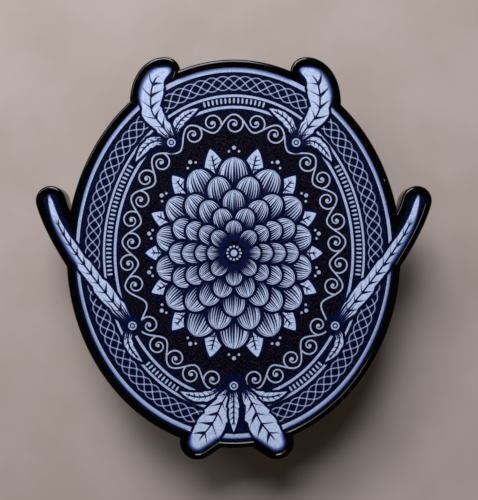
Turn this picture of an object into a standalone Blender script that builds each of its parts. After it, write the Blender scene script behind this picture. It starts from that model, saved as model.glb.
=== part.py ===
"""Lapel pin badge: a lobed oval plate with a raised rim, a printed inlay and two rubber clutches.

Metres, +Z up. The printed face looks up and +Y is the badge's top. The badge lies on its two clutches
at z = 0, and the origin is the middle of its outline's box.
"""

import math
from collections import namedtuple

import bmesh
import bpy
import numpy as np

# Outline, seen from the front
OVAL_WIDTH = 0.0414
OVAL_HEIGHT = 0.0481
HORN_WIDTH = 0.0036
PRONG_WIDTH = 0.0037
FOOT_WIDTH = 0.0045
HORN_SHIFT = 0.0002
FOOT_SHIFT = 0.0004

# Plate, rim and inlay
PLATE_FLOOR = 0.0015
BACK_ROUNDING = 0.0002
RIM_WIDTH = 0.0008
RIM_HEIGHT = 0.0003
RIM_ROUNDING = 0.00034
INLAY_THICKNESS = 0.0004
SEAT_GAP = 0.0003

# Posts, and the clutches' foot flange, waist and collar
POST_SPACING = 0.0240
POST_DIAMETER = 0.0012
POST_POINT = 0.0008
SOLE_THICKNESS = 0.0005
FLANGE_THICKNESS = 0.0016
WAIST_LENGTH = 0.0022
COLLAR_THICKNESS = 0.0012
WAIST_DIAMETER = 0.0082
FLANGE_LIP = 0.0014
COLLAR_LIP = 0.0007
CLUTCH_ROUNDING = 0.0004

# How finely round outlines are cut into straight pieces, and the most of a wall that a fillet takes
EDGE_STEP = 0.0013
LOBE_POINTS = 17
PATH_SAMPLES = 60
TURNED_STEPS = 40
POST_STEPS = 12
RIM_STEPS = 3
MOST_ROUNDING = 0.45

# A lobe is the path of a circle that changes size: it starts at its root inside the oval, bends
# towards the second circle and ends in the third, the round tip. Across and up are shares of the
# oval's half width and half height, and size is the circle's diameter as a share of the lobe's width.
Circle = namedtuple("Circle", "across up size")
Lobe = namedtuple("Lobe", "width shift root bend tip")
PRONG = Lobe(
    width=PRONG_WIDTH,
    shift=0.0,
    root=Circle(across=0.82, up=-0.14, size=1.12),
    bend=Circle(across=1.05, up=0.125, size=0.97),
    tip=Circle(across=1.094, up=0.274, size=1.0),
)
HORN = Lobe(
    width=HORN_WIDTH,
    shift=HORN_SHIFT,
    root=Circle(across=0.51, up=0.75, size=1.38),
    bend=Circle(across=0.50, up=0.90, size=1.65),
    tip=Circle(across=0.415, up=0.937, size=1.0),
)
FOOT = Lobe(
    width=FOOT_WIDTH,
    shift=FOOT_SHIFT,
    root=Circle(across=0.13, up=-0.855, size=1.42),
    bend=Circle(across=0.205, up=-0.93, size=1.17),
    tip=Circle(across=0.235, up=-0.965, size=1.0),
)
# All six, anticlockwise from the right, with their side
LOBES = ((PRONG, 1), (HORN, 1), (HORN, -1), (PRONG, -1), (FOOT, -1), (FOOT, 1))

# Heights above the surface that the clutches stand on
WAIST_TOP = FLANGE_THICKNESS + WAIST_LENGTH
CLUTCH_TOP = WAIST_TOP + COLLAR_THICKNESS
POST_TIP = SOLE_THICKNESS + SEAT_GAP
BACK = CLUTCH_TOP + SEAT_GAP
RECESS_FLOOR = BACK + PLATE_FLOOR
INLAY_BOTTOM = RECESS_FLOOR + SEAT_GAP
INLAY_TOP = INLAY_BOTTOM + INLAY_THICKNESS
TOP = INLAY_TOP + RIM_HEIGHT


def lobe_edge(lobe, inset):
    """The edge of a lobe drawn inset into the metal, from one side of its root round to the other.

    The circle follows a quadratic curve set by its three rows, in x, y and radius at once. Its
    envelope lies on both sides of the path, tilted by how fast the radius grows.
    """
    scale = (OVAL_WIDTH / 2, OVAL_HEIGHT / 2, lobe.width / 2)
    root, bend, tip = np.array([lobe.root, lobe.bend, lobe.tip]) * scale
    t = np.linspace(0, 1, PATH_SAMPLES)[:, None]
    path = (1 - t) ** 2 * root + 2 * t * (1 - t) * bend + t**2 * tip
    speed = 2 * (1 - t) * (bend - root) + 2 * t * (tip - bend)
    length = np.hypot(speed[:, 0], speed[:, 1])
    ahead = speed[:, :2] / length[:, None]
    aside = np.stack([ahead[:, 1], -ahead[:, 0]], axis=1)
    growth = (speed[:, 2] / length)[:, None]
    radius = path[:, 2:] - inset
    lean = -growth * ahead
    spread = np.sqrt(1 - growth**2) * aside
    right = path[:, :2] + radius * (lean + spread)
    left = path[:, :2] + radius * (lean - spread)
    first = math.atan2(*(right[-1] - path[-1, :2])[::-1])
    last = math.atan2(*(left[-1] - path[-1, :2])[::-1])
    if last < first:
        last += 2 * math.pi
    angle = np.linspace(first, last, PATH_SAMPLES)[1:-1]
    cap = path[-1, :2] + radius[-1] * np.stack([np.cos(angle), np.sin(angle)], axis=1)
    return np.concatenate([right, cap, left[::-1]])


def spaced(points, count):
    """count points at equal steps along a line through points, ends included."""
    along = np.concatenate([[0], np.cumsum(np.hypot(*np.diff(points, axis=0).T))])
    at = np.linspace(0, along[-1], count)
    return np.stack([np.interp(at, along, points[:, axis]) for axis in (0, 1)], axis=1)


def outside_oval(edge, half):
    """The stretch of a lobe's edge that stands out of the oval, with its two crossing points."""
    level = np.hypot(edge[:, 0] / half[0], edge[:, 1] / half[1]) - 1
    out = np.nonzero(level > 0)[0]
    ends = []
    for inner, outer in ((out[0] - 1, out[0]), (out[-1] + 1, out[-1])):
        share = level[inner] / (level[inner] - level[outer])
        ends.append(edge[inner] + (edge[outer] - edge[inner]) * share)
    return np.concatenate([ends[:1], edge[out[0]:out[-1] + 1], ends[1:]])


def outline(inset):
    """The badge's outline drawn inset into the metal, anticlockwise: oval and lobes, joined."""
    half = np.array([OVAL_WIDTH, OVAL_HEIGHT]) / 2 - inset
    runs = []
    for lobe, side in LOBES:
        edge = lobe_edge(lobe, inset)
        if side < 0:
            edge = edge[::-1] * (-1, 1)
        run = spaced(outside_oval(edge + (lobe.shift, 0), half), LOBE_POINTS)
        start, end = (math.atan2(run[i, 1] / half[1], run[i, 0] / half[0]) for i in (0, -1))
        runs.append((run, start, end))
    points = []
    for (run, _, end), (_, start, _) in zip(runs, runs[1:] + runs[:1]):
        turn = (start - end) % (2 * math.pi)
        count = max(2, round(turn * half.mean() / EDGE_STEP))
        angle = end + turn * np.arange(1, count) / count
        points += [run, half * np.stack([np.cos(angle), np.sin(angle)], axis=1)]
    return np.concatenate(points)


# The oval's own middle lies a little off the middle of the whole outline's box
OVAL_MIDDLE = -(outline(0).min(axis=0) + outline(0).max(axis=0)) / 2


def collection(name, hidden=False):
    made = bpy.data.collections.new(name)
    bpy.context.scene.collection.children.link(made)
    made.hide_render = hidden
    return made


def material(name, color, roughness, metallic):
    made = bpy.data.materials.new(name)
    made.use_nodes = True
    shader = made.node_tree.nodes["Principled BSDF"]
    shader.inputs["Base Color"].default_value = (*color, 1)
    shader.inputs["Roughness"].default_value = roughness
    shader.inputs["Metallic"].default_value = metallic
    return made


def evaluated_mesh(source):
    """The mesh that an object has after its modifiers, or that a curve fills, welded."""
    bpy.context.view_layer.update()
    depsgraph = bpy.context.evaluated_depsgraph_get()
    mesh = bpy.data.meshes.new_from_object(source.evaluated_get(depsgraph))
    cage = bmesh.new()
    cage.from_mesh(mesh)
    bmesh.ops.remove_doubles(cage, verts=cage.verts, dist=1e-7)
    cage.to_mesh(mesh)
    cage.free()
    return mesh


def slab(name, inset, bottom, top, group):
    """A flat plate with the badge's outline, as a filled 2D curve that is made a mesh."""
    points = outline(inset) + OVAL_MIDDLE
    curve = bpy.data.curves.new(name, "CURVE")
    curve.dimensions = "2D"
    curve.fill_mode = "BOTH"
    curve.extrude = (top - bottom) / 2
    spline = curve.splines.new("POLY")
    spline.points.add(len(points) - 1)
    spline.points.foreach_set("co", np.insert(points, (2, 2), (0, 1), axis=1).ravel())
    spline.use_cyclic_u = True
    drawn = bpy.data.objects.new(name + "_outline", curve)
    drawn.location.z = (top + bottom) / 2
    group.objects.link(drawn)
    made = bpy.data.objects.new(name, evaluated_mesh(drawn))
    made.matrix_world = drawn.matrix_world
    group.objects.link(made)
    bpy.data.objects.remove(drawn)
    return made


def turned(name, profile, steps, group):
    """A body turned from a profile of radius and height that starts and ends on the axis."""
    mesh = bpy.data.meshes.new(name)
    corners = [(radius, 0, height) for radius, height in profile]
    mesh.from_pydata(corners, [(i, i + 1) for i in range(len(corners) - 1)], [])
    made = bpy.data.objects.new(name, mesh)
    group.objects.link(made)
    screw = made.modifiers.new("turn", "SCREW")
    screw.steps = steps
    screw.render_steps = steps
    screw.use_merge_vertices = True
    screw.merge_threshold = 0.00001
    return made


def boolean(target, other, operation):
    cut = target.modifiers.new(other.name, "BOOLEAN")
    cut.operation = operation
    cut.object = other
    cut.solver = "EXACT"


def as_cutter(tool):
    tool.hide_render = True
    tool.display_type = "WIRE"


def applied(made):
    """The object with its modifiers turned into mesh."""
    mesh = evaluated_mesh(made)
    made.modifiers.clear()
    made.data = mesh
    return made


def round_edges(made, height, width, steps):
    """Rounds the outline edges that lie at a height, where a flat face meets an upright wall."""
    level = height - made.location.z
    cage = bmesh.new()
    cage.from_mesh(made.data)
    edges = []
    for edge in cage.edges:
        flat = all(abs(corner.co.z - level) < 1e-6 for corner in edge.verts)
        upright = [abs(face.normal.z) < 0.5 for face in edge.link_faces]
        if flat and sorted(upright) == [False, True]:
            edges.append(edge)
    bmesh.ops.bevel(cage, geom=edges, offset=width, segments=steps, profile=0.5, affect="EDGES")
    cage.to_mesh(made.data)
    cage.free()


def smooth(made, angle):
    made.data.shade_smooth()
    made.data.set_sharp_from_angle(angle=math.radians(angle))


def arc(middle, radius, start, end, count=4):
    """Points on an arc, in degrees."""
    angles = (math.radians(start + (end - start) * i / (count - 1)) for i in range(count))
    return [(middle[0] + radius * math.cos(a), middle[1] + radius * math.sin(a)) for a in angles]


def badge_body(group, cutters, metal):
    """The die-cast plate: outline, rounded rim and recess, with the two posts soldered to its back."""
    plate = slab("badge_body", 0, BACK, TOP, group)
    recess = slab("recess", RIM_WIDTH, RECESS_FLOOR, TOP + PLATE_FLOOR, cutters)
    as_cutter(recess)
    boolean(plate, recess, "DIFFERENCE")
    applied(plate)
    rim = min(RIM_WIDTH, TOP - RECESS_FLOOR)
    round_edges(plate, TOP, min(RIM_ROUNDING, rim * MOST_ROUNDING), RIM_STEPS)
    round_edges(plate, BACK, min(BACK_ROUNDING, PLATE_FLOOR * MOST_ROUNDING), 1)
    post_root = BACK + PLATE_FLOOR / 2
    for name, place in post_places():
        profile = (
            (0, post_root),
            (POST_DIAMETER / 2, post_root),
            (POST_DIAMETER / 2, POST_TIP + POST_POINT),
            (0, POST_TIP),
        )
        post = turned("post_" + name, profile, POST_STEPS, cutters)
        post.location = (*place, 0)
        as_cutter(post)
        boolean(plate, post, "UNION")
    plate.data.materials.append(metal)
    smooth(plate, 35)


def printed_face(group, ink):
    """The printed inlay, a thin sheet in the recess."""
    sheet = slab("printed_face", RIM_WIDTH + SEAT_GAP, INLAY_BOTTOM, INLAY_TOP, group)
    sheet.data.materials.append(ink)


def post_places():
    """Where the two posts stand, on the oval's cross line."""
    for name, side in (("left", -1), ("right", 1)):
        yield name, OVAL_MIDDLE + (side * POST_SPACING / 2, 0)


def clutches(group, rubber):
    """The rubber clutches: a foot flange, a waist and a collar, with a blind hole for the post."""
    hole = POST_DIAMETER / 2 + SEAT_GAP
    waist = WAIST_DIAMETER / 2
    flange = waist + FLANGE_LIP
    collar = waist + COLLAR_LIP
    edge = min(CLUTCH_ROUNDING, COLLAR_THICKNESS * MOST_ROUNDING, FLANGE_THICKNESS * MOST_ROUNDING)
    profile = [(0, SOLE_THICKNESS), (hole, SOLE_THICKNESS), (hole, CLUTCH_TOP)]
    profile += arc((collar - edge, CLUTCH_TOP - edge), edge, 90, 0)
    profile += [(collar, WAIST_TOP), (waist, WAIST_TOP), (waist, FLANGE_THICKNESS)]
    profile += arc((flange - edge, FLANGE_THICKNESS - edge), edge, 90, 0)
    profile += arc((flange - edge, edge), edge, 0, -90)
    profile += [(0, 0)]
    for name, place in post_places():
        clutch = turned("clutch_" + name, profile, TURNED_STEPS, group)
        clutch.location = (*place, 0)
        applied(clutch)
        clutch.data.materials.append(rubber)
        smooth(clutch, 40)


for old in list(bpy.data.objects):
    bpy.data.objects.remove(old)

badge = collection("lapel_pin_badge")
tools = collection("cutters", hidden=True)
badge_body(badge, tools, material("black_nickel", (0.016, 0.015, 0.016), 0.16, 1.0))
printed_face(badge, material("printed_ink", (0.05, 0.07, 0.13), 0.45, 0.0))
clutches(badge, material("black_rubber", (0.02, 0.02, 0.021), 0.7, 0.0))
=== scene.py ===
"""Looks of the lapel pin badge: plated casting, printed ornament, rubber clutches, floor and light."""

import math
from collections import namedtuple

import bmesh
import bpy
import numpy as np
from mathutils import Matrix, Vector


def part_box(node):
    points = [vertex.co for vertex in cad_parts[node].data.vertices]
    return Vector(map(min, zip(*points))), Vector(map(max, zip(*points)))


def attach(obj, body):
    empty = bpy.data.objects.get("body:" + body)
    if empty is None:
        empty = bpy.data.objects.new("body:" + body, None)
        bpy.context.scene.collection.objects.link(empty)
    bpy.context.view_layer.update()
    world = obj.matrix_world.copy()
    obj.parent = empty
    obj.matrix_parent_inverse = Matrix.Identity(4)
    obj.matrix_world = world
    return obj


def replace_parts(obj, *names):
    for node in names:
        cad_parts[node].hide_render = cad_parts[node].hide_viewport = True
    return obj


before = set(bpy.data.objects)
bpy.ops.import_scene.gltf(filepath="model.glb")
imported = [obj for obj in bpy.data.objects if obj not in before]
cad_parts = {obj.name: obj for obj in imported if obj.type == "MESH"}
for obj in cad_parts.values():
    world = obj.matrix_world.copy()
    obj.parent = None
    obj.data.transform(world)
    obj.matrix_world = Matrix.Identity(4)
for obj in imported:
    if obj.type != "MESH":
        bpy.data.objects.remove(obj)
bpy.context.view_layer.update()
MM = 0.001

# Badge body: a zinc die casting plated in gloss black nickel. A rounded rim runs round a shallow
# recess for the print, and two pointed pin posts are soldered to the plain pebbled back.
OVAL = np.array([41.4, 48.1]) / 2 * MM
BACK_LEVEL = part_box("badge_body")[0].z + 4.5 * MM
RIM_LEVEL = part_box("badge_body")[1].z
PRINT_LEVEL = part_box("printed_face")[1].z
RECESS_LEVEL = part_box("printed_face")[0].z - 0.3 * MM
BACK_ROUNDING = 0.2 * MM
RIM_WIDTH = 0.90 * MM
RIM_CROWN = 0.38 * MM
RIM_STEPS = 14
SMOOTH_BELOW = math.radians(40)
LOBE_STEPS = 60
ARC_STEPS = 64
PATH_SAMPLES = 240

POST_SPACING = 24 * MM
POST_RADIUS = 0.6 * MM
POST_POINT = 0.8 * MM
POST_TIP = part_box("badge_body")[0].z
SOLDER_FILLET = 0.35 * MM
POST_SIDES = 36

PLATING = (0.018, 0.018, 0.019)
PLATING_HAZE = (0.028, 0.027, 0.027)
DUST = (0.42, 0.40, 0.37)
DUST_CELL = 1.1 * MM
DUST_REACH = 0.05
DUST_FREE = 0.60

Circle = namedtuple("Circle", "across up size")
Lobe = namedtuple("Lobe", "width shift root bend tip")
PRONG = Lobe(3.7 * MM, 0, Circle(0.82, -0.14, 1.12), Circle(1.05, 0.125, 0.97), Circle(1.094, 0.274, 1))
HORN = Lobe(
    3.6 * MM, 0.2 * MM, Circle(0.51, 0.75, 1.38), Circle(0.50, 0.90, 1.65), Circle(0.415, 0.937, 1)
)
FOOT = Lobe(
    4.5 * MM, 0.4 * MM, Circle(0.13, -0.855, 1.42), Circle(0.205, -0.93, 1.17), Circle(0.235, -0.965, 1)
)
LOBES = ((PRONG, 1), (HORN, 1), (HORN, -1), (PRONG, -1), (FOOT, -1), (FOOT, 1))


def lobe_circles(lobe):
    """The three circles that a lobe is swept through, as rows of x, y and radius."""
    return np.array([lobe.root, lobe.bend, lobe.tip]) * (*OVAL, lobe.width / 2)


def lobe_edge(lobe, inset):
    """Both sides and the round tip of a lobe, drawn inset into the metal.

    A circle runs along a quadratic curve in x, y and radius. Its envelope lies on either side of the
    path at the radius, tilted back by how fast the radius grows.
    """
    root, bend, tip = lobe_circles(lobe)
    t = np.linspace(0, 1, PATH_SAMPLES)[:, None]
    path = (1 - t) ** 2 * root + 2 * t * (1 - t) * bend + t**2 * tip
    speed = 2 * (1 - t) * (bend - root) + 2 * t * (tip - bend)
    length = np.hypot(speed[:, 0], speed[:, 1])[:, None]
    ahead = speed[:, :2] / length
    aside = ahead[:, ::-1] * (1, -1)
    growth = speed[:, 2:] / length
    radius = path[:, 2:] - inset
    spread = np.sqrt(1 - growth**2) * aside
    right = path[:, :2] + radius * (spread - growth * ahead)
    left = path[:, :2] - radius * (spread + growth * ahead)
    first, last = (math.atan2(*(end - tip[:2])[::-1]) for end in (right[-1], left[-1]))
    angle = np.linspace(first, first + (last - first) % (2 * math.pi), PATH_SAMPLES)[1:-1]
    cap = tip[:2] + radius[-1] * np.stack([np.cos(angle), np.sin(angle)], axis=1)
    return np.concatenate([right, cap, left[::-1]])


def evenly(points, count):
    """count points at equal steps along a line through points, ends included, in all its columns."""
    along = np.concatenate([[0], np.cumsum(np.hypot(*np.diff(points[:, :2], axis=0).T))])
    at = np.linspace(0, along[-1], count)
    return np.stack([np.interp(at, along, column) for column in points.T], axis=1)


def outside_oval(edge, half):
    """The stretch of a lobe's edge that stands out of the oval, with its two crossing points."""
    level = np.hypot(*(edge / half).T) - 1
    out = np.nonzero(level > 0)[0]
    ends = []
    for inner, outer in ((out[0] - 1, out[0]), (out[-1] + 1, out[-1])):
        share = level[inner] / (level[inner] - level[outer])
        ends.append(edge[inner] + (edge[outer] - edge[inner]) * share)
    return np.concatenate([ends[:1], edge[out[0]:out[-1] + 1], ends[1:]])


def oval_point(half, angle):
    """Points on an ellipse: half axes times cosine and sine of the angle."""
    return half * np.stack([np.cos(angle), np.sin(angle)], axis=-1)


def outline(inset):
    """The badge's outline drawn inset into the metal: six lobes joined by arcs of the oval."""
    half = OVAL - inset
    runs = []
    for lobe, side in LOBES:
        edge = lobe_edge(lobe, inset)
        edge = edge if side > 0 else edge[::-1] * (-1, 1)
        runs.append(evenly(outside_oval(edge + (lobe.shift, 0), half), LOBE_STEPS))
    points = []
    for run, following in zip(runs, runs[1:] + runs[:1]):
        end, start = (math.atan2(*(p / half)[::-1]) for p in (run[-1], following[0]))
        share = np.arange(1, ARC_STEPS) / ARC_STEPS
        points += [run, oval_point(half, end + (start - end) % (2 * math.pi) * share)]
    return np.concatenate(points)


OVAL_MIDDLE = -(outline(0).min(axis=0) + outline(0).max(axis=0)) / 2


def quads(rows, columns, ring=False, start=0):
    """Corner numbers of a grid's faces, row by row; ring joins the last column to the first."""
    row, column = np.mgrid[: rows - 1, : columns - (not ring)]
    beside = (column + 1) % columns
    corners = [row * columns + column, row * columns + beside]
    corners += [corners[1] + columns, corners[0] + columns]
    return np.stack(corners, axis=-1).reshape(-1, 4) + start


def piece(name, points, faces, finish):
    """A welded mesh at the origin that rides on the badge."""
    mesh = bpy.data.meshes.new(name)
    mesh.from_pydata(np.asarray(points).reshape(-1, 3), [], faces)
    shell = bmesh.new()
    shell.from_mesh(mesh)
    bmesh.ops.remove_doubles(shell, verts=shell.verts, dist=1e-7)
    shell.to_mesh(mesh)
    shell.free()
    mesh.materials.append(finish)
    mesh.shade_smooth()
    mesh.set_sharp_from_angle(angle=SMOOTH_BELOW)
    made = bpy.data.objects.new(name, mesh)
    bpy.context.scene.collection.objects.link(made)
    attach(made, "root")
    return made


def turned(profile, middle, sides):
    """A profile of radius and height turned about an upright axis: x, y = radius (cos a, sin a)."""
    radius, height = np.array(profile).T[:, :, None]
    angle = np.linspace(0, 2 * math.pi, sides, endpoint=False)
    x, y = middle[0] + radius * np.cos(angle), middle[1] + radius * np.sin(angle)
    return np.stack([x, y, np.broadcast_to(height, x.shape)], axis=-1)


def arc(middle, radius, start, end, count=9):
    """Points on an arc, in degrees."""
    angle = np.radians(np.linspace(start, end, count))
    way = np.stack([np.cos(angle), np.sin(angle)], axis=1)
    return (np.array(middle) + np.outer(radius, 1) * way).tolist()


def screen(red, green, blue):
    """A colour as a screen shows it, 0 to 255, turned into the linear colour of a material."""
    share = np.array([red, green, blue]) / 255
    return tuple(np.where(share < 0.04045, share / 12.92, ((share + 0.055) / 1.055) ** 2.4))


class Value:
    """A socket in a Python expression: each operator adds its Math node."""

    def __init__(self, finish, socket):
        self.finish, self.socket = finish, socket

    def math(self, operation, *values):
        return self.finish.node("ShaderNodeMath", {"operation": operation}, dict(enumerate(values)))

    def __add__(self, other):
        return self.math("ADD", self, other)

    def __sub__(self, other):
        return self.math("SUBTRACT", self, other)

    def __rsub__(self, other):
        return self.math("SUBTRACT", other, self)

    def __mul__(self, other):
        return self.math("MULTIPLY", self, other)

    def __truediv__(self, other):
        return self.math("DIVIDE", self, other)

    def __gt__(self, other):
        return self.math("GREATER_THAN", self, other)

    def __lt__(self, other):
        return self.math("LESS_THAN", self, other)

    def __abs__(self):
        return self.math("ABSOLUTE", self)

    def floor(self):
        return self.math("FLOOR", self)

    def fract(self):
        return self.math("FRACT", self)

    def most(self, other):
        return self.math("MAXIMUM", self, other)

    def step(self, low, high):
        """0 below low, 1 above high and smooth between."""
        settings = {"interpolation_type": "SMOOTHSTEP"}
        values = {"Value": self, "From Min": low, "From Max": high}
        return self.finish.node("ShaderNodeMapRange", settings, values)

    __radd__ = __add__
    __rmul__ = __mul__


class Finish:
    """A material whose nodes are added by node(), around its own shader."""

    def __init__(self, name):
        self.material = bpy.data.materials.new(name)
        self.material.use_nodes = True
        self.tree = self.material.node_tree
        self.shader = self.tree.nodes["Principled BSDF"]

    def fill(self, socket, value):
        if isinstance(value, Value):
            self.tree.links.new(value.socket, socket)
        elif isinstance(value, tuple) and socket.type == "RGBA":
            socket.default_value = (*value, 1)
        else:
            socket.default_value = value

    def node(self, kind, settings=None, values=None, output=0):
        made = self.tree.nodes.new(kind)
        for name, setting in (settings or {}).items():
            setattr(made, name, setting)
        for name, value in (values or {}).items():
            self.fill(made.inputs[name], value)
        return Value(self, made.outputs[output])

    def place(self):
        return self.node("ShaderNodeTexCoord", output="Object")

    def attribute(self, name):
        return self.node("ShaderNodeAttribute", {"attribute_name": name}, output="Fac")

    def noise(self, size, detail):
        """Cloudy noise whose blobs are about size metres wide."""
        values = {"Vector": self.place(), "Scale": 1 / size, "Detail": detail}
        return self.node("ShaderNodeTexNoise", None, values, "Fac")

    def blend(self, share, low, high):
        """The colour low where share is 0 and high where it is 1."""
        return self.node("ShaderNodeMix", {"data_type": "RGBA"}, {0: share, 6: low, 7: high}, 2)

    def bump(self, height, distance, strength):
        values = {"Height": height, "Distance": distance, "Strength": strength}
        return self.node("ShaderNodeBump", None, values)

    def shade(self, **values):
        """Sets the shader's sockets, named with _ for a space, and gives the material."""
        for name, value in values.items():
            self.fill(self.shader.inputs[name.replace("_", " ")], value)
        return self.material


def black_nickel():
    """Gloss black plating: faint orange peel, soft haze, dust specks, and a pebbled matt back.

    A speck is the middle of a Voronoi cell, in the share of the cells whose lot is above DUST_FREE.
    """
    finish = Finish("black_nickel")
    height = finish.node("ShaderNodeSeparateXYZ", None, {0: finish.place()}, "Z")
    behind = height < BACK_LEVEL + 0.02 * MM
    peel = finish.noise(0.9 * MM, 1)
    pebbles = finish.noise(0.35 * MM, 3)
    haze = finish.noise(5 * MM, 3)
    cells = {"Vector": finish.place(), "Scale": 1 / DUST_CELL}
    away = finish.node("ShaderNodeTexVoronoi", None, cells, "Distance")
    lot = finish.node("ShaderNodeTexVoronoi", None, cells, "Color")
    chosen = finish.node("ShaderNodeSeparateXYZ", None, {0: lot}, "X") > DUST_FREE
    dust = (away < DUST_REACH) * chosen
    relief = peel * (1 - behind) * 0.01 + pebbles * behind
    color = finish.blend(haze.step(0.35, 0.75), PLATING, PLATING_HAZE)
    color = finish.blend(dust, color, DUST)
    return finish.shade(
        Base_Color=color,
        Metallic=1 - dust,
        Roughness=0.08 + haze * 0.06 + behind * 0.28 + dust * 0.4,
        Normal=finish.bump(relief, 0.03 * MM, 0.6),
    )


def rim_profile():
    """Inset and height from the back up the wall, over the half-ellipse rim and into the recess."""
    wall = arc((BACK_ROUNDING, BACK_LEVEL + BACK_ROUNDING), -BACK_ROUNDING, 90, 0, 5)
    turn = np.linspace(0, math.pi, RIM_STEPS)
    crown = RIM_LEVEL - RIM_CROWN * (1 - np.sin(turn))
    rim = np.stack([RIM_WIDTH / 2 * (1 - np.cos(turn)), crown], axis=1).tolist()
    return wall + rim + [(RIM_WIDTH, RECESS_LEVEL)]


def badge_body():
    """The outline at each inset and height of the profile, closed by two caps, and the pins."""
    rings = [np.insert(outline(inset) + OVAL_MIDDLE, 2, z, axis=1) for inset, z in rim_profile()]
    count = len(rings[0])
    faces = quads(len(rings), count, ring=True).tolist()
    faces += [range(count)[::-1], range((len(rings) - 1) * count, len(rings) * count)]
    points = np.concatenate(rings)
    fillet = arc((POST_RADIUS + SOLDER_FILLET, BACK_LEVEL - SOLDER_FILLET), SOLDER_FILLET, 90, 180, 6)
    post = [(0, POST_TIP), (0.08 * MM, POST_TIP + 0.02 * MM), (POST_RADIUS, POST_TIP + POST_POINT)]
    post += fillet[::-1] + [(POST_RADIUS + SOLDER_FILLET, BACK_LEVEL + BACK_ROUNDING), (0, RECESS_LEVEL)]
    for side in (-1, 1):
        pin = turned(post, OVAL_MIDDLE + (side * POST_SPACING / 2, 0), POST_SIDES)
        faces += quads(len(post), POST_SIDES, ring=True, start=len(points)).tolist()
        points = np.concatenate([points, pin.reshape(-1, 3)])
    made = piece("plated_badge_body", points, faces, black_nickel())
    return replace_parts(made, "badge_body")


badge_body()


# Printed panel: the thin metal inlay that fills the recess inside the rim, printed navy black all
# over. Its middle is a browner black with a coarse grain, and it carries all the printed layers.
RING_MIDDLE = np.array([0.02, 0.68]) * MM
FIELD_HALF = np.array([14.25, 17.45]) * MM
PANEL_MARGIN = 0.93 * MM
PANEL_THICKNESS = 0.4 * MM
FIELD_INK = screen(1, 1, 10)
FIELD_SPECKLE = screen(50, 42, 58)
BORDER_INK = screen(1, 5, 28)
BORDER_SPECKLE = screen(32, 42, 84)
MOTTLE_INK = screen(8, 12, 38)


def ground_ink():
    """Dark ink: navy round the border and brown black in the field, both with a fine speckle."""
    finish = Finish("ground_ink")
    place = finish.place()
    x, y = (finish.node("ShaderNodeSeparateXYZ", None, {0: place}, axis) for axis in "XY")
    across = (x - float(RING_MIDDLE[0])) * (1 / float(FIELD_HALF[0]))
    up = (y - float(RING_MIDDLE[1])) * (1 / float(FIELD_HALF[1]))
    inside = 1 - (across * across + up * up).step(0.96, 1.0)
    speckle = finish.noise(0.16 * MM, 2)
    mottle = finish.noise(0.45 * MM, 2)
    field = finish.blend(speckle.step(0.48, 0.78), FIELD_INK, FIELD_SPECKLE)
    border = finish.blend(speckle.step(0.48, 0.80), BORDER_INK, BORDER_SPECKLE)
    color = finish.blend(inside, border, field)
    color = finish.blend(mottle.step(0.5, 0.9) * 0.3, color, MOTTLE_INK)
    return finish.shade(
        Base_Color=color,
        Roughness=0.55 + speckle * 0.2,
        Specular_IOR_Level=0.02,
        Normal=finish.bump(speckle, 0.02 * MM, 0.4),
    )


def printed_panel():
    """The outline inset by the margin, at the panel's bottom and top, closed by two caps."""
    rings = [
        np.insert(outline(PANEL_MARGIN) + OVAL_MIDDLE, 2, PRINT_LEVEL - drop, axis=1)
        for drop in (PANEL_THICKNESS, 0)
    ]
    count = len(rings[0])
    faces = quads(2, count, ring=True).tolist() + [range(count)[::-1], range(count, 2 * count)]
    made = piece("printed_panel", np.concatenate(rings), faces, ground_ink())
    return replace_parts(made, "printed_face")


printed_panel()


# Ring lines: two pale oval lines on either side of a row of ticks, and a third round the outside.
# They are printed over the dark ground in thin, slightly raised ink. Near the rim all pale ink turns
# blue and then navy black, part print fade and part painted shade from the rim, and at the foot the
# painted shade reaches further in.
INK_DEPTH = 0.02 * MM
# Where the pale ink starts to darken at the rim: part print fade, part painted shade from the rim.
FADE_AND_SHADE_START = 0.89 * MM
FADE_AND_SHADE_BLUE = screen(66, 92, 152)
FADE_AND_SHADE_NAVY = screen(6, 9, 24)
# Painted shade: below the upper of these heights the darkening at the rim reaches further in, most at
# the foot.
FOOT_PAINTED_SHADE = 0.15 * MM
FOOT_PAINTED_SHADE_HEIGHTS = (-12 * MM, 9 * MM)
LINE_LEVEL = PRINT_LEVEL + 0.020 * MM
RING_STEPS = 360
Ring = namedtuple("Ring", "outer inner")
RINGS = {
    "outer": Ring((19.52, 22.93), (19.15, 22.36)),
    "middle": Ring((16.18, 19.58), (15.93, 19.28)),
    "inner": Ring((14.85, 18.18), (14.54, 17.86)),
}
RING_PALE = screen(180, 194, 225)
RING_GRAIN = screen(142, 156, 192)
SHADE_INK = screen(2, 6, 34)
SHADE_SPECKLE = screen(20, 31, 76)
RIM_EDGE = outline(0) + OVAL_MIDDLE


def strip(path, half, columns=2, closed=False):
    """A flat strip along a path: path + across * half width * normal, with across from -1 to 1.

    Gives the points and, at each, across, along (0 to 1), run (metres) and half width.
    """
    path, half = np.asarray(path, float), np.broadcast_to(half, len(path)).astype(float)
    if closed:
        ahead = np.roll(path, -1, axis=0) - np.roll(path, 1, axis=0)
    else:
        ahead = np.gradient(path, axis=0)
    normal = ahead[:, ::-1] * (-1, 1) / np.hypot(*ahead.T)[:, None]
    across = np.linspace(-1, 1, columns)[:, None]
    points = path + (across * half)[..., None] * normal
    run = np.concatenate([[0], np.cumsum(np.hypot(*np.diff(path, axis=0).T))])
    facts = np.stack(np.broadcast_arrays(across, run / run[-1], run, half), axis=-1)
    return points, facts, closed


def margin_at(points):
    """Distance in from the badge's outline, to the nearest of its points."""
    nearest = np.full(len(points), np.inf)
    for part in np.array_split(RIM_EDGE, 12):
        gap = points[:, None] - part
        nearest = np.minimum(nearest, np.hypot(gap[..., 0], gap[..., 1]).min(axis=1))
    return nearest


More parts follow.
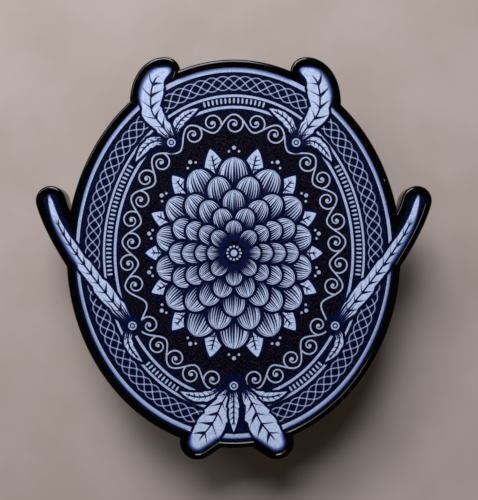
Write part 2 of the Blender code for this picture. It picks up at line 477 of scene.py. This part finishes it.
def printed(name, strips, levels, finish):
    """Strips of ink as one piece, each at its own level, thickened down into what lies below."""
    points, facts, faces, start = [], [], [], 0
    for (flat, about, closed), level in zip(strips, np.broadcast_to(levels, len(strips))):
        rows, columns = flat.shape[:2]
        faces.append(quads(rows, columns, closed, start))
        points.append(np.insert(flat.reshape(-1, 2), 2, level, axis=1))
        facts.append(about.reshape(-1, 4))
        start += rows * columns
    points, facts = np.concatenate(points), np.concatenate(facts)
    mesh = bpy.data.meshes.new(name)
    mesh.from_pydata(points, [], np.concatenate(faces))
    for label, values in zip(("across", "along", "run", "half"), facts.T):
        mesh.attributes.new(label, "FLOAT", "POINT").data.foreach_set("value", values)
    margins = margin_at(points[:, :2])
    mesh.attributes.new("margin", "FLOAT", "POINT").data.foreach_set("value", margins)
    mesh.materials.append(finish)
    made = bpy.data.objects.new(name, mesh)
    bpy.context.scene.collection.objects.link(made)
    thick = made.modifiers.new("ink_thickness", "SOLIDIFY")
    thick.thickness = INK_DEPTH
    thick.offset = -1
    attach(made, "root")
    return made


def faded_and_rim_shaded(finish, color, reach):
    """Ink from navy black at the rim through blue to its own colour over reach metres: part print fade,
    part painted shade.
    """
    height = finish.node("ShaderNodeSeparateXYZ", None, {0: finish.place()}, "Y")
    # Painted shade: the margin is cut short towards the bottom, so the darkening reaches further in
    # there.
    margin = finish.attribute("margin") - (1 - height.step(*FOOT_PAINTED_SHADE_HEIGHTS)) * FOOT_PAINTED_SHADE
    # Blue and then navy towards the rim: part print fade, part painted shade from the rim.
    blue = margin.step(FADE_AND_SHADE_START + reach * 0.25, FADE_AND_SHADE_START + reach)
    navy_fade_and_shade = margin.step(FADE_AND_SHADE_START, FADE_AND_SHADE_START + reach * 0.6)
    return finish.blend(navy_fade_and_shade, FADE_AND_SHADE_NAVY, finish.blend(blue, FADE_AND_SHADE_BLUE, color))


def mottled(finish, light, dark):
    """Ink whose colour wavers between two shades in a fine cloth-like grain."""
    grain = finish.noise(0.22 * MM, 2)
    cloud = finish.noise(1.3 * MM, 2)
    return finish.blend(grain.step(0.3, 0.7) * 0.7 + cloud * 0.3, dark, light), grain


def shade_ink(name):
    """The navy ink that outlines and parts the motifs."""
    finish = Finish(name)
    speckle = finish.noise(0.2 * MM, 2)
    color = finish.blend(speckle.step(0.45, 0.8), SHADE_INK, SHADE_SPECKLE)
    return finish.shade(Base_Color=color, Roughness=0.55 + speckle * 0.2, Specular_IOR_Level=0.02)


def pale_ink(name, light, dark, reach):
    """The pale ink of the lines: a soft sheen, and a fine grain that can just be felt."""
    finish = Finish(name)
    color, grain = mottled(finish, light, dark)
    # The colour darkens at the rim: part print fade, part painted shade from the rim.
    return finish.shade(
        Base_Color=faded_and_rim_shaded(finish, color, reach),
        Roughness=0.45 + grain * 0.12,
        Specular_IOR_Level=0.4,
        Normal=finish.bump(grain, 0.02 * MM, 0.35),
    )


def ring_lines():
    """Each line is a strip half way between its two ellipses, as wide as they lie apart."""
    angle = np.linspace(0, 2 * math.pi, RING_STEPS, endpoint=False)
    strips = []
    for ring in RINGS.values():
        outer, inner = (RING_MIDDLE + oval_point(np.array(half) * MM, angle) for half in ring)
        width = np.hypot(*(outer - inner).T)
        strips.append(strip((outer + inner) / 2, width / 2, 3, closed=True))
    return printed("ring_lines", strips, LINE_LEVEL, RING_INK)


RING_INK = pale_ink("ring_ink", RING_PALE, RING_GRAIN, reach=0.55 * MM)
ring_lines()


# Lattice: the braid between the outer and middle ring lines, four thin strands that wave across
# the band and cross one another in diamonds. It is printed in a thinner, greyer ink.
LATTICE_HALF = np.array([17.49, 20.99]) * MM
LATTICE_STRANDS = 4
LATTICE_WAVES = 22
LATTICE_SWING = 0.86 * MM
STRAND_HALF = 0.064 * MM
STRAND_STEPS = 1056
KNOT_RADIUS = 0.115 * MM
KNOT_SIDES = 8
STRAND_RISE = 0.004 * MM
LATTICE_PALE = screen(152, 163, 202)
LATTICE_GRAIN = screen(104, 114, 158)
ROUND_SAMPLES = 4001


def evenly_round(half, count):
    """Angles on an ellipse that cut it into count arcs of equal length."""
    angle = np.linspace(0, 2 * math.pi, ROUND_SAMPLES)
    line = RING_MIDDLE + oval_point(half, angle)
    length = np.concatenate([[0], np.cumsum(np.hypot(*np.diff(line, axis=0).T))])
    return np.interp(np.arange(count) / count * length[-1], length, angle)


def waving(half, count, swing, waves, shift):
    """A line that waves about an ellipse: point + swing * sin(waves * turn + shift) * normal."""
    angle = evenly_round(half, count)
    normal = oval_point(half[::-1], angle)
    normal /= np.hypot(*normal.T)[:, None]
    turn = np.arange(count) / count * 2 * math.pi
    swung = swing * np.sin(waves * turn + shift)[:, None]
    return RING_MIDDLE + oval_point(half, angle) + swung * normal


def bead(middle, radius, sides=16):
    """A round dot, as a strip whose two edges meet: half width = root of radius^2 - x^2."""
    x = np.cos(np.linspace(math.pi, 0, sides)) * radius
    half = np.sqrt(np.maximum(radius**2 - x**2, (0.02 * radius) ** 2))
    return strip(np.stack([middle[0] + x, np.full(sides, middle[1])], axis=1), half, 3)


def lattice():
    """The strands, and a brighter dot at each crossing.

    Strands a quarter wave apart cross where their sines meet, at every eighth of a wave.
    """
    strips, knots = [], []
    eighth = STRAND_STEPS // LATTICE_WAVES // 8
    for strand in range(LATTICE_STRANDS):
        shift = 2 * math.pi * strand / LATTICE_STRANDS
        path = waving(LATTICE_HALF, STRAND_STEPS, LATTICE_SWING, LATTICE_WAVES, shift)
        strips.append(strip(path, STRAND_HALF, 2, closed=True))
        rising = (np.arange(0, 8 * LATTICE_WAVES, 8) - 2 * strand) * eighth
        for crossing in (-1, 0, 1):
            knots += [bead(spot, KNOT_RADIUS, KNOT_SIDES) for spot in path[rising + crossing * eighth]]
    ink = pale_ink("lattice_ink", LATTICE_PALE, LATTICE_GRAIN, reach=0.38 * MM)
    printed("lattice_knots", knots, LINE_LEVEL + LATTICE_STRANDS * STRAND_RISE, RING_INK)
    return printed("lattice_braid", strips, LINE_LEVEL + np.arange(LATTICE_STRANDS) * STRAND_RISE, ink)


lattice()


# Palmettes: sprays of leaves that grow from beaded roots, one root for each horn and prong lobe and
# one between the two foot lobes. They are printed over the border bands. The middle leaf fills its
# lobe and takes the lobe's own shape, and the side leaves lie along the ring of ticks.
LEAF_MARGIN = 1.05 * MM
LEAF_STEPS = 150
LEAF_COLUMNS = 9
LEAF_LEVEL = PRINT_LEVEL + 0.065 * MM
LEAF_RISE = 0.004 * MM
LEAF_SHADE_WIDTH = 0.22 * MM
# How far in the leaves' pale ink darkens at the rim: part print fade, part painted shade from the rim.
LEAF_FADE_AND_SHADE = 0.75 * MM
TOOTH_DEPTH = 0.20
TOOTHED_SHARE = 0.7
TOOTH_WIDEST = 0.8
NARROWS_FROM = 0.6
ROUNDS_FROM = 0.93
ROOT_BEAD = 0.52 * MM
ROOT_RING = ROOT_BEAD * 0.66
ROOT_HEART = ROOT_BEAD * 0.34
ROOT_RISE = 0.006 * MM
ROOT_BEAD_RISE = 0.003 * MM
ROOT_RING_RISE = 0.008 * MM
ROOT_HEART_RISE = 0.012 * MM
PALE = screen(201, 215, 241)
PALE_GRAIN = screen(158, 173, 208)
STROKE_INK = screen(5, 11, 54)
BOTH = (-1, 1)
Leaf = namedtuple("Leaf", "lobe sides teeth tip rows")
LEAVES = (
    Leaf(None, BOTH, 3, 1, (
        (7.5, 15.0, 0.3), (7.2, 16.3, 0.75), (6.3, 17.4, 0.8), (5.2, 18.1, 0.5), (4.2, 18.6, 0.05),
    )),
    Leaf(None, BOTH, 3, 1, (
        (8.3, 14.2, 0.3), (9.5, 14.7, 0.75), (10.7, 14.1, 0.8), (11.6, 12.9, 0.5), (12.2, 11.8, 0.05),
    )),
    Leaf(HORN, BOTH, 3, 0.72, ((7.6, 14.4, 0.4), (8.7, 16.0, 1.1), (10.1, 17.6, 1.4))),
    Leaf(None, BOTH, 3, 1, (
        (12.6, -8.7, 0.3), (13.2, -9.7, 0.65), (12.9, -11.0, 0.7), (12.0, -12.1, 0.45),
        (11.1, -12.9, 0.05),
    )),
    Leaf(PRONG, BOTH, 4, 0.45, ((12.6, -8.2, 0.4), (13.8, -6.7, 1.05), (15.3, -4.9, 1.25))),
    Leaf(None, BOTH, 3, 1, (
        (1.4, -15.9, 0.3), (2.7, -16.9, 0.75), (4.2, -17.2, 0.8), (5.6, -16.9, 0.5), (6.8, -16.3, 0.05),
    )),
    Leaf(FOOT, BOTH, 3, 0.9, ((0.7, -15.9, 0.4), (1.5, -17.2, 0.95), (2.3, -18.7, 1.45))),
    Leaf(None, (1,), 3, 1, (
        (0, -15.9, 0.3), (0, -17.4, 0.75), (0, -18.8, 0.85), (0, -20.3, 0.55), (0, -21.6, 0.05),
    )),
)
Root = namedtuple("Root", "x y shade")
ROOTS = (
    Root(-7.7, 14.3, 1.3), Root(7.7, 14.3, 1.3),
    Root(-12.5, -8.3, 1.3), Root(12.5, -8.3, 1.3), Root(0, -15.7, 1.65),
)
FOOT_SHADES = (
    Root(0, -17.6, 2.5), Root(0, -19.8, 1.8), Root(-1.2, -20.4, 1.0), Root(1.2, -20.4, 1.0),
)
LEAF_LINES = []


def smooth_line(rows, count):
    """A cubic B-spline through x, y and half width: each span blends four rows by the usual
    weights, and the first and last rows count three times so that the line ends on them."""
    rows = np.concatenate([rows[:1]] * 2 + [rows] + [rows[-1:]] * 2)
    spans = len(rows) - 3
    at = np.linspace(0, spans, count * 2)
    first = np.minimum(at.astype(int), spans - 1)
    t = (at - first)[:, None]
    weights = ((1 - t) ** 3, 3 * t**3 - 6 * t**2 + 4, 1 + 3 * t + 3 * t**2 - 3 * t**3, t**3)
    return evenly(sum(w * rows[first + i] for i, w in enumerate(weights)) / 6, count)


def leaf_line(leaf):
    """Path and half width of a leaf on the right: its own rows, then the lobe's circles inset.

    Teeth narrow it: each widens slowly towards the tip and steps back. Past its middle it narrows
    to the tip's share of its width, and the end is rounded off.
    """
    rows = np.array(leaf.rows) * MM
    if leaf.lobe:
        circles = lobe_circles(leaf.lobe) + (*OVAL_MIDDLE, -LEAF_MARGIN)
        ahead = circles[2, :2] - circles[1, :2]
        end = circles[2, :2] + ahead / np.hypot(*ahead) * circles[2, 2]
        rows = np.concatenate([rows, circles, [(*end, circles[2, 2] * 0.8)]])
    line = smooth_line(rows, LEAF_STEPS)
    share = np.linspace(0, 1, LEAF_STEPS)
    tooth = (share * leaf.teeth / TOOTHED_SHARE) % 1
    widening, closing = (tooth / TOOTH_WIDEST) ** 0.7, (1 - tooth) / (1 - TOOTH_WIDEST)
    edge = np.where(tooth < TOOTH_WIDEST, widening, closing)
    line[:, 2] *= 1 - TOOTH_DEPTH * (1 - edge) * np.clip((TOOTHED_SHARE + 0.02 - share) / 0.1, 0, 1)
    line[:, 2] *= 1 - (1 - leaf.tip) * np.clip((share - NARROWS_FROM) / (1 - NARROWS_FROM), 0, 1)
    end = np.clip((share - ROUNDS_FROM) / (1 - ROUNDS_FROM), 0, 1)
    line[:, 2] *= np.sqrt(np.maximum(1 - end**2, 0.004))
    return line


def engraved(name, light, dark, strokes, reach, veins, rib, border, fade_and_shade, contour=None):
    """Pale ink cut by dark strokes like an engraving.

    Comb strokes run from the root, each as long as its own lot, and thin out to nothing. They are
    longer on the shaded side. Slanting veins start at the rib and end before the edge. A rib and a
    border line are drawn in full, and the tip stays clear of strokes. A contour line may run
    inside the border.
    """
    finish = Finish(name)
    across, along, run, half = (finish.attribute(label) for label in ("across", "along", "run", "half"))
    color, grain = mottled(finish, light, dark)
    side = abs(across)
    shaded = across < 0
    inward = (1 - side) * half
    paper = inward.step(border, border + 0.05 * MM)
    paper = paper * (side * half).step(rib * 0.5, rib * 0.5 + 0.05 * MM).most(along.step(0.78, 0.86))
    if contour:
        paper = paper * abs(inward - contour).step(0.02 * MM, 0.07 * MM)
    place = across * (strokes / 2) + 0.5
    lot = finish.node("ShaderNodeTexWhiteNoise", {"noise_dimensions": "1D"}, {"W": place.floor()})
    cell = abs(place.fract() - 0.5) * 2
    length = (lot * reach[1] + reach[0]) * (1 - side * side * 0.35) * (1 + shaded * 0.35)
    cut = (1 - along / length) * 1.6
    paper = paper * (cell - cut).step(-0.12, 0.12)
    if veins:
        slant = run / veins - side * 0.8
        ripple = abs(slant.fract() - 0.5) * 2
        depth = shaded * 0.22 + 0.20
        paper = paper * (ripple - depth * (1 - side * 1.1)).step(-0.1, 0.1).most(along.step(0.8, 0.86))
    color = finish.blend(paper, STROKE_INK, color)
    # The colour darkens at the rim: part print fade, part painted shade from the rim.
    return finish.shade(
        Base_Color=faded_and_rim_shaded(finish, color, fade_and_shade),
        Roughness=0.45 + grain * 0.12,
        Specular_IOR_Level=0.08,
        Normal=finish.bump(paper * 0.5 + grain * 0.5, 0.03 * MM, 0.35),
    )


def palmettes():
    """The leaves, each over a wider shade of its own, then the roots' shades, beads and rings.

    Every leaf and shade lies at its own level, so no two inks share a surface where they overlap.
    """
    strips, shades, kinds, roots, rings = [], [], [], [], []
    for leaf in LEAVES:
        line = leaf_line(leaf)
        shift = leaf.lobe.shift if leaf.lobe else 0
        for side in leaf.sides:
            path = line[:, :2] * (side, 1) + (shift, 0)
            strips.append(strip(path, line[:, 2], LEAF_COLUMNS))
            shades.append(strip(path, line[:, 2] + LEAF_SHADE_WIDTH, 3))
            kinds.append(leaf.lobe is not None)
            LEAF_LINES.append(np.column_stack([path, line[:, 2]]))
    for x, y, shade in ROOTS:
        middle = np.array([x, y]) * MM
        roots += [bead(middle, ROOT_BEAD, 28), bead(middle, ROOT_HEART, 14)]
        rings.append(bead(middle, ROOT_RING, 24))
        shades.append(bead(middle, ROOT_BEAD + LEAF_SHADE_WIDTH, 28))
    levels = LEAF_LEVEL + np.arange(len(strips)) * LEAF_RISE
    root_level = levels[-1] + ROOT_RISE
    low = [levels - LEAF_RISE / 2, np.full(len(rings), root_level)]
    fills = [bead(np.array([x, y]) * MM, size * MM, 28) for x, y, size in ROOTS + FOOT_SHADES]
    shades += fills
    low = np.concatenate(low + [LEAF_LEVEL - np.arange(1, len(fills) + 1) * LEAF_RISE])
    shadow = shade_ink("leaf_shadow_ink")
    printed("palmette_shadows", shades, low, shadow)
    inks = {
        False: engraved(
            "leaf_ink", PALE, PALE_GRAIN, strokes=4, reach=(0.24, 0.20),
            veins=0.66 * MM, rib=0.17 * MM, border=0.10 * MM, fade_and_shade=LEAF_FADE_AND_SHADE,
        ),
        True: engraved(
            "lobe_leaf_ink", PALE, PALE_GRAIN, strokes=7, reach=(0.12, 0.20),
            veins=1.45 * MM, rib=0.16 * MM, border=0.10 * MM, fade_and_shade=LEAF_FADE_AND_SHADE,
        ),
    }
    for name, in_lobe in (("palmette_side_leaves", False), ("palmette_lobe_leaves", True)):
        chosen = [i for i, kind in enumerate(kinds) if kind == in_lobe]
        printed(name, [strips[i] for i in chosen], levels[chosen], inks[in_lobe])
    bead_levels = root_level + np.tile([ROOT_BEAD_RISE, ROOT_HEART_RISE], len(rings))
    printed("palmette_beads", roots, bead_levels, RING_INK)
    return printed("palmette_bead_rings", rings, root_level + ROOT_RING_RISE, shadow)


palmettes()


# Ticks: the row of short upright bars between the middle and inner ring lines, like the reeding of
# a coin, in the same pale ink. The row stops short of the leaves that lie on it.
TICK_COUNT = 204
TICK_HALF = np.array([15.46, 18.82]) * MM
TICK_LENGTH = 0.66 * MM
TICK_WIDTH = 0.22 * MM
TICK_CLEARANCE = 0.26 * MM
TICK_REACHES = np.array([-0.5, -0.42, -0.3, 0.3, 0.42, 0.5])
TICK_WIDTHS = np.array([0.25, 0.8, 1, 1, 0.8, 0.25])


def clear_of_leaves(points, clearance):
    """True for points further from every leaf's path than its half width and the clearance."""
    leaves = np.concatenate(LEAF_LINES)
    gap = points[:, None] - leaves[:, :2]
    return (np.hypot(gap[..., 0], gap[..., 1]) - leaves[:, 2]).min(axis=1) > clearance


def clear_of_roots(points):
    """True for points outside every root's round shade."""
    roots = np.array(ROOTS) * MM
    gap = points[:, None] - roots[:, :2]
    return (np.hypot(gap[..., 0], gap[..., 1]) > roots[:, 2]).all(axis=1)


def ticks():
    """Each bar stands across the row: foot + reach * normal, narrowed at both ends to round them."""
    angle = evenly_round(TICK_HALF, TICK_COUNT)
    feet = RING_MIDDLE + oval_point(TICK_HALF, angle)
    normal = oval_point(TICK_HALF[::-1], angle)
    normal /= np.hypot(*normal.T)[:, None]
    ends = normal * TICK_LENGTH / 2
    spots = [feet + way * ends for way in (-1, 0, 1)]
    clear = [clear_of_leaves(spot, TICK_CLEARANCE) & clear_of_roots(spot) for spot in spots]
    clear = np.all(clear, axis=0)
    reach = TICK_REACHES * TICK_LENGTH
    width = TICK_WIDTHS * TICK_WIDTH / 2
    kept = zip(feet[clear], normal[clear])
    strips = [strip(foot + reach[:, None] * out, width, 3) for foot, out in kept]
    return printed("ticks", strips, LINE_LEVEL, RING_INK)


ticks()


# Running scroll: a waving stem with a curl in each bend, printed just inside the inner ring line.
# Each curl leaves the stem where it crosses its middle, winds into the next bend and ends in a bead.
# A curl is left out where the leaves or the roots would cut it.
SCROLL_HALF = np.array([12.85, 16.15]) * MM
SCROLL_WAVES = 17
SCROLL_SWING = 0.98 * MM
SCROLL_LINE = 0.09 * MM
SCROLL_STEPS = SCROLL_WAVES * 40
CURL_RADIUS = 1.16 * MM
CURL_DROP = 0.24 * MM
CURL_LEAN = math.radians(22)
CURL_TURNS = 1.5
CURL_STEPS = 44
MOST_HIDDEN = 0.08
BEAD_RADIUS = 0.20 * MM
SCROLL_LEVEL = PRINT_LEVEL + 0.012 * MM
CURL_RISE = 0.003 * MM


def curl(middle, radius, start, turns, hand, line):
    """A spiral that closes in on its middle: radius * (1 - share), line thinner inwards."""
    share = np.linspace(0, 0.9, CURL_STEPS)
    angle = start + hand * turns * 2 * math.pi * share
    way = np.stack([np.cos(angle), np.sin(angle)], axis=1)
    path = middle + (radius * (1 - share))[:, None] * way
    return strip(path, line * (1 - 0.3 * share), 2)


def running_scroll():
    """The stem, and in each of its bends a curl and the bead at the curl's heart."""
    stem = waving(SCROLL_HALF, SCROLL_STEPS, SCROLL_SWING, SCROLL_WAVES, 0)
    strips = [strip(stem, SCROLL_LINE, 2, closed=True)]
    middle = waving(SCROLL_HALF, SCROLL_STEPS, 0, SCROLL_WAVES, 0)
    for bend in range(2 * SCROLL_WAVES):
        at = int((bend + 0.5) * SCROLL_STEPS / (2 * SCROLL_WAVES))
        hand = 1 if bend % 2 else -1
        crest = (stem[at] - middle[at]) / SCROLL_SWING
        heart = middle[at] - crest * CURL_DROP
        ahead = middle[(at + 1) % SCROLL_STEPS] - middle[at - 1]
        start = math.atan2(-ahead[1], -ahead[0]) - hand * CURL_LEAN
        wound = curl(heart, CURL_RADIUS, start, CURL_TURNS, hand, SCROLL_LINE)
        clear = clear_of_leaves(wound[0][0], LEAF_SHADE_WIDTH) & clear_of_roots(wound[0][0])
        if clear.mean() > 1 - MOST_HIDDEN:
            strips += [wound, bead(heart, BEAD_RADIUS)]
    levels = SCROLL_LEVEL + np.array([0] + [1, 2] * (len(strips) // 2)) * CURL_RISE
    return printed("running_scroll", strips, levels, RING_INK)


running_scroll()


# Flower: the large many-petalled flower that fills the field, an oval like the badge. Pointed
# leaves spread behind it, its rings of petals grow smaller inwards and overlap like tiles, and
# its heart is beaded. Each petal is hatched from its root.
PETAL_STEPS = 30
PETAL_COLUMNS = 9
FLOWER_MIDDLE = RING_MIDDLE
FLOWER_TALLNESS = 1.22
FLOWER_LEVEL = PRINT_LEVEL + 0.030 * MM
PetalRing = namedtuple("PetalRing", "name count start reach width turn point")
PETAL_RINGS = (
    PetalRing("leaf", 14, 6.2, 11.0, 1.30, 0.5, 0.85),
    PetalRing("petal", 14, 5.4, 9.7, 1.80, 0, 0.52),
    PetalRing("petal", 14, 4.1, 8.0, 1.52, 0.5, 0.52),
    PetalRing("petal", 12, 3.0, 6.4, 1.38, 0, 0.52),
    PetalRing("petal", 10, 2.0, 4.8, 1.22, 0.5, 0.52),
    PetalRing("petal", 8, 1.1, 3.3, 1.02, 0, 0.52),
)
PETAL_RISE = 0.006 * MM
PETAL_SHADE_WIDTH = 0.27 * MM
HEART_RADIUS = 1.15 * MM
HEART_MIDDLE_BEAD = 0.40 * MM
HEART_BEADS = 12
HEART_BEAD = 0.14 * MM
HEART_BEAD_REACH = 0.82 * MM
HEART_BEAD_RISE = 0.004 * MM
SPRIGS = 14
SPRIG_REACH = 10.65 * MM
SPRIG_STEP = 0.35 * MM
SPRIG_SPREAD = 0.11
SPRIG_BEAD = 0.24 * MM
SPRIG_SIDE_BEAD = 0.15 * MM


def petal(middle, turn, start, end, width, point):
    """A petal as a strip that points away from middle: half width = width * s^0.6 * (1 - s)^point,
    scaled so that its widest place has the named width."""
    share = np.linspace(0.004, 0.996, PETAL_STEPS)
    shape = share**0.6 * (1 - share) ** point
    way = np.array([math.cos(turn), math.sin(turn)])
    path = middle + (start + (end - start) * share)[:, None] * way
    return strip(path, width * shape / shape.max(), PETAL_COLUMNS)


def flower():
    """The rings of petals from the outside in, the heart, and the beads round the flower in threes.

    Each ring lies higher than the last, and neighbours in a ring lie at two levels. A petal is
    longer the more upright it stands: tall = 1 / root of cos^2 + (sin / tallness)^2.
    """
    strips, shades, levels = {"leaf": [], "petal": []}, [], {"leaf": [], "petal": []}
    low = []
    for layer, ring in enumerate(PETAL_RINGS):
        for k in range(ring.count):
            turn = 2 * math.pi * (k + ring.turn) / ring.count + math.pi / 2
            tall = 1 / math.hypot(math.cos(turn), math.sin(turn) / FLOWER_TALLNESS)
            start, reach = ring.start * MM * tall, ring.reach * MM * tall
            width = ring.width * MM * (1 + tall) / 2
            strips[ring.name].append(petal(FLOWER_MIDDLE, turn, start, reach, width, ring.point))
            wide_reach, wide = reach + PETAL_SHADE_WIDTH, width + PETAL_SHADE_WIDTH
            shades.append(petal(FLOWER_MIDDLE, turn, start, wide_reach, wide, ring.point))
            level = FLOWER_LEVEL + (layer * 2 + k % 2) * PETAL_RISE
            levels[ring.name].append(level)
            low.append(level - PETAL_RISE / 2)
    printed("petal_shadows", shades, low, shade_ink("petal_shadow_ink"))
    leaf_ink = engraved(
        "flower_leaf_ink", PALE, PALE_GRAIN, strokes=10, reach=(0.45, 0.35),
        veins=0.55 * MM, rib=0.16 * MM, border=0.09 * MM, fade_and_shade=0.3 * MM,
    )
    petal_ink = engraved(
        "petal_ink", PALE, PALE_GRAIN, strokes=11, reach=(0.80, 0.55),
        veins=None, rib=0.0, border=0.09 * MM, fade_and_shade=0.3 * MM, contour=0.30 * MM,
    )
    printed("flower_leaves", strips["leaf"], levels["leaf"], leaf_ink)
    printed("flower_petals", strips["petal"], levels["petal"], petal_ink)
    top = max(low) + 1.5 * PETAL_RISE
    hearts = [bead(FLOWER_MIDDLE, HEART_RADIUS, 40)]
    printed("flower_heart", hearts, top, shade_ink("flower_heart_ink"))
    beads = [bead(FLOWER_MIDDLE, HEART_MIDDLE_BEAD, 20)]
    for k in range(HEART_BEADS):
        angle = 2 * math.pi * k / HEART_BEADS
        way = np.array([math.cos(angle), math.sin(angle)])
        beads.append(bead(FLOWER_MIDDLE + HEART_BEAD_REACH * way, HEART_BEAD, 12))
    for k in range(3 * SPRIGS):
        angle = 2 * math.pi * (k // 3 + (k % 3 - 1) * SPRIG_SPREAD) / SPRIGS + math.pi / 2
        way = np.array([math.cos(angle), math.sin(angle)])
        tall = 1 / math.hypot(way[0], way[1] / FLOWER_TALLNESS)
        in_front = k % 3 == 1
        reach = SPRIG_REACH if in_front else SPRIG_REACH - SPRIG_STEP
        size = SPRIG_BEAD if in_front else SPRIG_SIDE_BEAD
        beads.append(bead(FLOWER_MIDDLE + reach * tall * way, size, 12))
    return printed("flower_beads", beads, top + HEART_BEAD_RISE, RING_INK)


flower()


# Clutches: the two black rubber clutches pushed on the posts, each moulded in one piece with a wide
# foot flange, a narrower waist to pull on, and a collar.
FLANGE_RADIUS = (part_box("clutch_left")[1].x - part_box("clutch_left")[0].x) / 2
CLUTCH_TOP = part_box("clutch_left")[1].z
WAIST_RADIUS = FLANGE_RADIUS - 1.4 * MM
COLLAR_RADIUS = WAIST_RADIUS + 0.7 * MM
FLANGE_THICKNESS = 1.6 * MM
COLLAR_THICKNESS = 1.2 * MM
CLUTCH_ROUNDING = 0.4 * MM
HOLE_RADIUS = POST_RADIUS + 0.3 * MM
SOLE_THICKNESS = 0.5 * MM
CLUTCH_SIDES = 72
RUBBER = (0.018, 0.018, 0.019)
RUBBER_SCUFF = (0.042, 0.041, 0.040)


def black_rubber():
    """Moulded rubber: matt black with a fine grain and paler scuffs."""
    finish = Finish("black_rubber")
    grain = finish.noise(0.25 * MM, 3)
    scuff = finish.noise(2.5 * MM, 4)
    return finish.shade(
        Base_Color=finish.blend(scuff.step(0.45, 0.75), RUBBER, RUBBER_SCUFF),
        Roughness=0.62 + scuff * 0.2,
        Normal=finish.bump(grain, 0.04 * MM, 0.5),
    )


def clutches():
    """One profile from the hole's floor up, round the collar, waist and flange to the sole, turned."""
    edge, fold = CLUTCH_ROUNDING, CLUTCH_ROUNDING / 2
    collar_bottom = CLUTCH_TOP - COLLAR_THICKNESS
    profile = [(0, SOLE_THICKNESS), (HOLE_RADIUS, SOLE_THICKNESS), (HOLE_RADIUS, CLUTCH_TOP)]
    profile += arc((COLLAR_RADIUS - edge, CLUTCH_TOP - edge), edge, 90, 0)
    profile += arc((COLLAR_RADIUS - fold, collar_bottom + fold), fold, 0, -90, 5)
    profile += arc((WAIST_RADIUS + fold, collar_bottom - fold), fold, 90, 180, 5)
    profile += arc((WAIST_RADIUS + fold, FLANGE_THICKNESS + fold), fold, 180, 270, 5)
    profile += arc((FLANGE_RADIUS - edge, FLANGE_THICKNESS - edge), edge, 90, 0)
    profile += arc((FLANGE_RADIUS - edge, edge), edge, 0, -90) + [(0, 0)]
    rubber = black_rubber()
    for name, side in (("left", -1), ("right", 1)):
        points = turned(profile, OVAL_MIDDLE + (side * POST_SPACING / 2, 0), CLUTCH_SIDES)
        faces = quads(len(profile), CLUTCH_SIDES, ring=True)[:, ::-1].tolist()
        made = piece("rubber_clutch_" + name, points, faces, rubber)
        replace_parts(made, "clutch_" + name)


clutches()


# Floor, light and camera: a plain pale matt floor, a large soft lamp beyond the top, a strip lamp at
# the upper left that draws the lines along the rim, weak fill all round, and the camera straight
# above the badge.
FLOOR_SIZE = 1.2
FLOOR_DARK = (0.408, 0.335, 0.288)
FLOOR_LIGHT = (0.463, 0.388, 0.346)
FLOOR_GRAIN = (0.36, 0.30, 0.27)
LAMP_COLOR = (0.95, 0.975, 1.05)
FILL_COLOR = (1, 0.82, 0.70, 1)
FILL_STRENGTH = 0.059
CAMERA_HEIGHT = RIM_LEVEL + 70 * MM
CAMERA_MIDDLE = (0.645 * MM, 1.05 * MM)
VIEW_HEIGHT = 61.52 * MM
SENSOR = 36
Lamp = namedtuple("Lamp", "name distance elevation bearing width height power")
LAMPS = (
    Lamp("softbox", 0.34, 37, 101, 0.18, 0.18, 1.47),
    Lamp("rim_lamp", 0.34, 31, 130, 0.26, 0.06, 0.46),
)


def studio():
    """The lens follows from similar triangles: sensor * distance / view height."""
    finish = Finish("pale_floor")
    cloud = finish.noise(14 * MM, 3)
    grain = finish.noise(0.8 * MM, 3)
    color = finish.blend(cloud.step(0.3, 0.7), FLOOR_DARK, FLOOR_LIGHT)
    color = finish.blend(grain * 0.25, color, FLOOR_GRAIN)
    material = finish.shade(Base_Color=color, Roughness=0.9, Specular_IOR_Level=0.1)
    corners = np.array([(-1, -1, 0), (1, -1, 0), (1, 1, 0), (-1, 1, 0)]) * FLOOR_SIZE / 2
    mesh = bpy.data.meshes.new("floor")
    mesh.from_pydata(corners, [], [(0, 1, 2, 3)])
    mesh.materials.append(material)
    floor = bpy.data.objects.new("floor", mesh)
    bpy.context.scene.collection.objects.link(floor)

    for name, distance, elevation, bearing, width, height, power in LAMPS:
        lamp = bpy.data.lights.new(name, "AREA")
        lamp.shape = "RECTANGLE"
        lamp.size = width
        lamp.size_y = height
        lamp.energy = power
        lamp.color = LAMP_COLOR
        made = bpy.data.objects.new(name, lamp)
        up, turn = math.radians(elevation), math.radians(bearing)
        flat = distance * math.cos(up)
        made.location = (flat * math.cos(turn), flat * math.sin(turn), distance * math.sin(up))
        made.rotation_euler = made.location.to_track_quat("Z", "Y").to_euler()
        bpy.context.scene.collection.objects.link(made)

    world = bpy.data.worlds.new("studio")
    world.use_nodes = True
    background = world.node_tree.nodes["Background"]
    background.inputs["Color"].default_value = FILL_COLOR
    background.inputs["Strength"].default_value = FILL_STRENGTH
    bpy.context.scene.world = world

    view = bpy.data.cameras.new("camera")
    view.sensor_width = SENSOR
    view.lens = SENSOR * (CAMERA_HEIGHT - RIM_LEVEL) / VIEW_HEIGHT
    view.clip_start = 0.005
    camera = bpy.data.objects.new("camera", view)
    camera.location = (*CAMERA_MIDDLE, CAMERA_HEIGHT)
    bpy.context.scene.collection.objects.link(camera)
    bpy.context.scene.camera = camera
    bpy.context.scene.view_settings.view_transform = "Standard"


studio()
